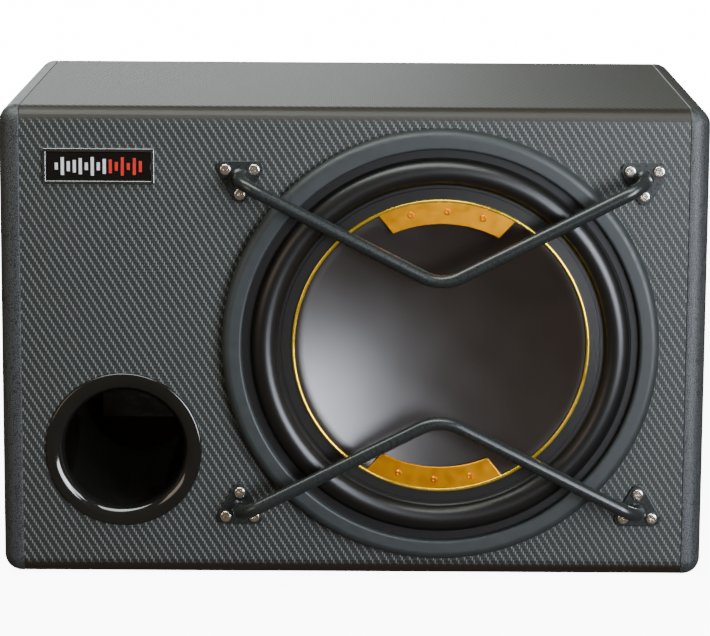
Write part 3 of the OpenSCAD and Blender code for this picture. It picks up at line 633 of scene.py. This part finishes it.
keep("rubber_trim_ring", trim_rubber, "trim_rubber", "enclosure", "trim_ring", angle=35)
dress(foam_rubber, "driver_seal", "terminal_seal")
dress(black_coat, "basket")
dress(black_oxide, "driver_screws")


# ---------- surround ----------
# The half-round rubber roll that lets the cone move, glued to the flange and to the cone's edge.
# Pressed rubber: satin black, its inner lip ribbed with fine rings left by the tool.

def follow(piece, weight):
    """Bakes a piece's placement into its mesh and works out each point's share of the motion, without storing
    it.
    """
    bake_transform(piece)
    for corner in piece.data.vertices:
        t = min(max(weight(corner.co), 0.0), 1.0)


def radius_at(point):
    """Distance in mm from the driver's axis."""
    return hypot(point.x - driver.x, point.z - driver.z) / mm


roll_in, roll_out, rubber_t = 115.5, 134.0, 1.2
roll_mid, roll_r = (roll_in + roll_out) / 2, (roll_out - roll_in) / 2
lip_low, lip_step_r = 2.05, 112.6
lip_top = lip_low + rubber_t

# Satin rubber, with a mapped pattern of fine rings for the tool marks on the lip.
ring_step = 0.9
roll_rubber, tree, shader, place = new_material("satin_surround_rubber")
centred = add_node(tree, "Mapping", inputs={"Vector": place, "Location": (-driver.x, 0, -driver.z)})
flat = add_node(tree, "Mapping", inputs={"Vector": centred.outputs[0], "Scale": (1, 0, 1)})
distance = add_node(tree, "VectorMath", {"operation": "LENGTH"}, {0: flat.outputs[0]})
rings = add_node(tree, "Math", {"operation": "MULTIPLY"},
                 {0: distance.outputs["Value"], 1: 2 * pi / (ring_step * mm)})
ring_wave = add_node(tree, "Math", {"operation": "SINE"}, {0: rings.outputs[0]})
lip_only = add_node(tree, "MapRange",
                    inputs={0: distance.outputs["Value"], 1: 0.1135, 2: 0.1155, 3: 1.0, 4: 0.0})
ring_marks = add_node(tree, "Math", {"operation": "MULTIPLY"},
                      {0: ring_wave.outputs[0], 1: lip_only.outputs[0]})
dust = add_node(tree, "TexNoise", inputs={"Vector": place, "Scale": 1 / (9 * mm), "Detail": 5})
shade = add_node(tree, "Mix", {"data_type": "RGBA"},
                 {0: dust.outputs["Fac"], 6: linear("#0e0d0c"), 7: linear("#151413")})
tree.links.new(shade.outputs[2], shader.inputs["Base Color"])
bump = add_node(tree, "Bump", inputs={"Strength": 0.5, "Distance": 0.03 * mm, "Height": ring_marks.outputs[0]})
tree.links.new(bump.outputs[0], shader.inputs["Normal"])
shader.inputs["Roughness"].default_value = 0.36

turned(
    [(140.3, lip_low), (140.3, lip_top), (roll_out + 0.7, lip_top)]
    + arc(roll_mid, lip_low, roll_r, 12, 168, 28)
    + [(roll_in - 0.7, lip_top - 0.1), (lip_step_r + 0.3, lip_top - 0.1), (lip_step_r, lip_top + 0.3),
       (105.5, lip_top + 0.3), (105.4, lip_low), (roll_in + rubber_t, lip_low)]
    + arc(roll_mid, lip_low, roll_r - rubber_t, 180, 0, 20),
    driver,
)
surround = keep("rubber_surround", roll_rubber, "surround_rubber", None, "surround", angle=30)
follow(surround, lambda p: (roll_out - radius_at(p)) / (roll_out - roll_in))


# ---------- spider ----------
# A corrugated disc of resin-dipped cloth that centres the voice coil, glued to the basket's ledge.
# Woven cotton, so it is amber with a visible thread of about half a millimetre.

cloth, tree, shader, place = new_material("resin_dipped_cotton")
warp_threads = add_node(tree, "TexWave", {"bands_direction": "X"}, {"Vector": place, "Scale": 1 / (3.2 * mm)})
weft_threads = add_node(tree, "TexWave", {"bands_direction": "Z"}, {"Vector": place, "Scale": 1 / (3.2 * mm)})
weave = add_node(tree, "Math", {"operation": "MULTIPLY"},
                 {0: warp_threads.outputs["Fac"], 1: weft_threads.outputs["Fac"]})
shade = add_node(tree, "Mix", {"data_type": "RGBA"},
                 {0: weave.outputs[0], 6: linear("#8a5a22"), 7: linear("#d79a4a")})
tree.links.new(shade.outputs[2], shader.inputs["Base Color"])
bump = add_node(tree, "Bump", inputs={"Distance": 0.1 * mm, "Height": weave.outputs[0]})
tree.links.new(bump.outputs[0], shader.inputs["Normal"])
shader.inputs["Roughness"].default_value = 0.7

spider_in, spider_out = 30.0, 75.0
copied("spider")
spider = keep("cloth_spider", cloth, "spider_cloth", None, "spider", angle=60)
follow(spider,
       lambda p: (spider_out - radius_at(p)) / (spider_out - spider_in))


# ---------- motor ----------
# A ferrite ring clamped between a steel top plate and a T-yoke, glued and riveted to the basket.
# The steel is zinc plated; the magnet is pressed and fired, so it is dark grey and matt.

zinc = grained("zinc_plated_steel", "#9a9ea3", "#c6cacd", 4, 0.32, relief=0.01, metallic=1.0)
ferrite = grained("fired_ferrite", "#232325", "#3a3a3d", 1.4, 0.7, relief=0.06)
dress(zinc, "top_plate", "t_yoke")
dress(ferrite, "magnet")


# ---------- driver terminals and leads ----------
# Two brass tabs on a fibre block, riveted to a basket spoke.
# A braided copper lead runs from each tab to the cone, slack enough for its whole travel.

fibre = grained("pressed_fibre_board", "#3a2416", "#5c3b25", 1.5, 0.75, relief=0.04)
brass = grained("rolled_brass", "#a67c2c", "#d3a94e", 2.5, 0.3, relief=0.01, metallic=1.0)
braid, tree, shader, place = new_material("braided_copper")
strands = add_node(tree, "TexWave", {"bands_direction": "DIAGONAL"}, {"Vector": place, "Scale": 1 / (2.4 * mm)})
shade = add_node(tree, "Mix", {"data_type": "RGBA"},
                 {0: strands.outputs["Fac"], 6: linear("#7a3c1e"), 7: linear("#d98a5a")})
tree.links.new(shade.outputs[2], shader.inputs["Base Color"])
bump = add_node(tree, "Bump", inputs={"Distance": 0.08 * mm, "Height": strands.outputs["Fac"]})
tree.links.new(bump.outputs[0], shader.inputs["Normal"])
shader.inputs["Metallic"].default_value = 1.0
shader.inputs["Roughness"].default_value = 0.38
dress(fibre, "terminal_block")
dress(brass, "driver_tabs", "red_contact", "black_contact")

lead_fixed_x, lead_moving_x = driver.x - 0.106, driver.x - 0.066
for node in ("tinsel_lead_upper", "tinsel_lead_lower"):
    copied(node, rounded=1)
    lead = keep(node.replace("tinsel_lead", "braided_lead"), braid, "copper_braid", None, node, angle=60)
    follow(lead,
           lambda p: (p.x - lead_fixed_x) / (lead_moving_x - lead_fixed_x))


# ---------- cone and centre dish ----------
# A moulded polypropylene cone carries a shallow concave dish glued to its edge.
# The dish is sprayed satin black-brown, so a window shows in it only as a wide soft glow.

cone_plastic = grained("mica_filled_polypropylene", "#141516", "#242628", 1.2, 0.5, relief=0.03)
dish_paint = grained("satin_sprayed_plastic", "#17100c", "#1f1712", 30, 0.32, relief=0.004, spread=0.02)
dish_paint.node_tree.nodes["Principled BSDF"].inputs["Specular IOR Level"].default_value = 0.95
dress(cone_plastic, "cone")
dish_r, bowl_r, dish_depth, dish_t = 102.6, 99.6, 14.0, 1.2
dish_top = 3.25
sphere_r = (bowl_r ** 2 + dish_depth ** 2) / (2 * dish_depth)


def bowl_height(r):
    """Height of the dish's face at a radius."""
    return dish_top - dish_depth + sphere_r - sqrt(sphere_r ** 2 - r ** 2)


bowl_steps = 28
bowl = [(bowl_r * k / bowl_steps, bowl_height(bowl_r * k / bowl_steps)) for k in range(bowl_steps + 1)]
turned(
    bowl + [(dish_r - 0.3, dish_top), (dish_r, dish_top - 0.3), (dish_r, dish_top - dish_t)]
    + [(r, h - dish_t) for r, h in reversed(bowl)],
    driver, closed=False,
)
keep("concave_dish", dish_paint, "dish_plastic", "cone_assembly", "centre_dish", angle=30)


# ---------- gold trim ----------
# One moulding glued round the dish: a thin bead, two wide plates and three small bosses on each.
# It is vacuum-plated and tinted gold: the plates are satin orange and the bead is polished yellow.

bright_gold = grained("polished_plated_plastic", "#f4c830", "#ffdc50", 6, 0.22, relief=0.005, metallic=0.85)
gold = grained("tinted_plated_plastic", "#ffa408", "#ffb012", 6, 0.34, relief=0.01, metallic=1.0, spread=0.04)
bead_r, bead_mid, bead_low = 1.25, 104.05, 2.05
plate_in, plate_out, plate_low_h, plate_top_h = 87.4, 104.3, 3.3, 4.9
outer_half, inner_half, moulding_turn = 27.9, 25.3, -2.2
boss_ring_r, boss_step, boss_low, boss_top = 96.4, 15.3, 4.7, 6.0
boss_r, boss_tip_r, boss_rim, boss_pit = 2.6, 1.7, 0.6, 0.9
corner_round, edge_round = 3.0, 0.7
gold_parts = []


def at_angle(degrees_round, r, h):
    """A point on the driver from its angle, radius and height in mm."""
    a = radians(degrees_round)
    return driver + Vector((r * cos(a), -h, r * sin(a))) * mm


turned([(bead_mid - bead_r, bead_low), (bead_mid + bead_r, bead_low)]
       + arc(bead_mid, bead_low + 2.2, bead_r, 0, 180, 10), driver)
keep("gold_bead", bright_gold, "gold_plastic", "cone_assembly")
for middle in (90 + moulding_turn, 270 + moulding_turn):
    turned([(plate_in, plate_low_h), (plate_out, plate_low_h),
            (plate_out, plate_top_h), (plate_in, plate_top_h)],
           driver, steps=60, angle=radians(60), start=radians(middle - 30))
    for side in (-1, 1):
        outer = at_angle(middle + side * outer_half, plate_out, plate_low_h)
        inner = at_angle(middle + side * inner_half, plate_in, plate_low_h)
        normal = (outer - inner).cross(Vector((0, 1, 0))).normalized() * side
        bpy.ops.mesh.select_all(action="SELECT")
        bpy.ops.mesh.bisect(plane_co=outer, plane_no=normal, use_fill=True, clear_outer=True,
                            threshold=0.001 * mm)
    bpy.ops.mesh.select_all(action="SELECT")
    bpy.ops.mesh.dissolve_limited(angle_limit=radians(0.2))
    for side in (-1, 1):
        corner = at_angle(middle + side * inner_half, plate_in, (plate_low_h + plate_top_h) / 2)
        pick("EDGE", lambda p: (p - corner).length < 0.4 * mm)
        bpy.ops.mesh.bevel(offset=corner_round * mm, segments=6, profile=0.5)
    front = driver.y - plate_top_h * mm
    pick("EDGE", lambda p: abs(p.y - front) < 0.01 * mm)
    bpy.ops.mesh.bevel(offset=edge_round * mm, segments=3, profile=0.5)
    bpy.ops.mesh.select_all(action="SELECT")
    bpy.ops.mesh.normals_make_consistent(inside=False)
    bpy.ops.object.mode_set(mode="OBJECT")
    gold_parts.append(bpy.context.object)
    for k in (-1, 0, 1):
        boss_at = at_angle(middle + boss_step * k, boss_ring_r, (boss_low + boss_top) / 2)
        bpy.ops.mesh.primitive_cone_add(vertices=28, radius1=boss_r * mm, radius2=boss_tip_r * mm,
                                        depth=(boss_top - boss_low) * mm, location=boss_at,
                                        rotation=(pi / 2, 0, 0))
        bpy.ops.object.transform_apply(location=True, rotation=True)
        bpy.ops.object.mode_set(mode="EDIT")
        pick("FACE", lambda p: p.y < boss_at.y - 0.5 * (boss_top - boss_low) * mm + 0.01 * mm)
        bpy.ops.mesh.inset(thickness=boss_rim * mm)
        bpy.ops.mesh.extrude_region_move(TRANSFORM_OT_translate={"value": (0, boss_pit * mm, 0)})
        bpy.ops.object.mode_set(mode="OBJECT")
        gold_parts.append(bpy.context.object)
bpy.ops.object.select_all(action="DESELECT")
for part in gold_parts:
    part.select_set(True)
bpy.context.view_layer.objects.active = gold_parts[0]
bpy.ops.object.join()
keep("gold_plates", gold, "gold_plastic", "cone_assembly", "gold_trim", angle=30)


# ---------- voice coil ----------
# Enamelled copper wire wound on a thin foil tube, varnished and baked.
# The turns lie side by side, 0.4 mm apart, and shine through the varnish.

foil = grained("anodised_foil", "#8a6a44", "#b08c5c", 5, 0.35, relief=0.005, metallic=0.8)
winding, tree, shader, place = new_material("enamelled_copper_wire")
turns = add_node(tree, "TexWave", {"bands_direction": "Y"}, {"Vector": place, "Scale": 1 / (2.5 * mm)})
shade = add_node(tree, "Mix", {"data_type": "RGBA"},
                 {0: turns.outputs["Fac"], 6: linear("#5a2410"), 7: linear("#c8643a")})
tree.links.new(shade.outputs[2], shader.inputs["Base Color"])
bump = add_node(tree, "Bump", inputs={"Distance": 0.1 * mm, "Height": turns.outputs["Fac"]})
tree.links.new(bump.outputs[0], shader.inputs["Normal"])
shader.inputs["Metallic"].default_value = 0.9
shader.inputs["Roughness"].default_value = 0.3
dress(foil, "coil_former")
dress(winding, "coil_winding")


# ---------- terminal cup ----------
# A moulded cup let into the rear board, with a cover behind it, held by four screws.
# Textured ABS: dull black with a spark-eroded grain, its edges slightly rounded.

cup_abs = grained("spark_textured_abs", "#0e0f10", "#1d1f20", 0.7, 0.55, relief=0.05)
copied("terminal_cup", bevel=0.5)
keep("rear_terminal_cup", cup_abs, "cup_abs", "enclosure", "terminal_cup", angle=40)
dress(cup_abs, "terminal_rear_cover")
cup_head_r, cup_head_h = 3.5, 2.0
heads_low, heads_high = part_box("terminal_screws")
cup_screw_places = [
    Vector((x, heads_high.y - cup_head_h * mm, z))
    for x in (heads_low.x + cup_head_r * mm, heads_high.x - cup_head_r * mm)
    for z in (heads_low.z + cup_head_r * mm, heads_high.z - cup_head_r * mm)
]
set_screws(pan_head_screw(cup_head_r, cup_head_h), cup_screw_places, backwards,
           "cup_screw_heads", black_oxide, "screw_black", "terminal_screws")


# ---------- push buttons and springs ----------
# A red and a black button, each pressed in against a coil spring to open its wire hole.
# Glossy moulded ABS, coloured through, with soft edges; the springs are drawn steel wire.

spring_steel = grained("drawn_spring_steel", "#8f9296", "#c2c5c8", 1.5, 0.28, relief=0.01, metallic=1.0)
for colour, finish in (
    ("red", grained("red_abs", "#a8120f", "#c41d17", 8, 0.28, relief=0.01, coat=0.2)),
    ("black", grained("black_abs", "#0b0c0d", "#16181a", 8, 0.28, relief=0.01, coat=0.2)),
):
    copied(colour + "_button", bevel=0.7)
    keep(colour + "_push_key", finish, "button_" + colour, colour + "_push_button",
         colour + "_button", angle=40)
    copied(colour + "_spring", rounded=1)
    spring = keep(colour + "_coil_spring", spring_steel, "spring_steel", None, colour + "_spring", angle=60)
    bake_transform(spring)


# ---------- inner wires ----------
# A red and a black lead inside the box, from the terminal contacts to the driver's tabs.
# Stranded copper in PVC: smooth, slightly waxy and coloured through.

for colour, dark, light in (("red", "#9c1410", "#c22a22"), ("black", "#0c0c0d", "#1b1b1d")):
    sleeve = grained(colour + "_pvc_sleeve", dark, light, 6, 0.4, relief=0.01)
    copied(colour + "_wire", rounded=1)
    keep(colour + "_inner_lead", sleeve, "wire_" + colour, "enclosure", colour + "_wire", angle=60)
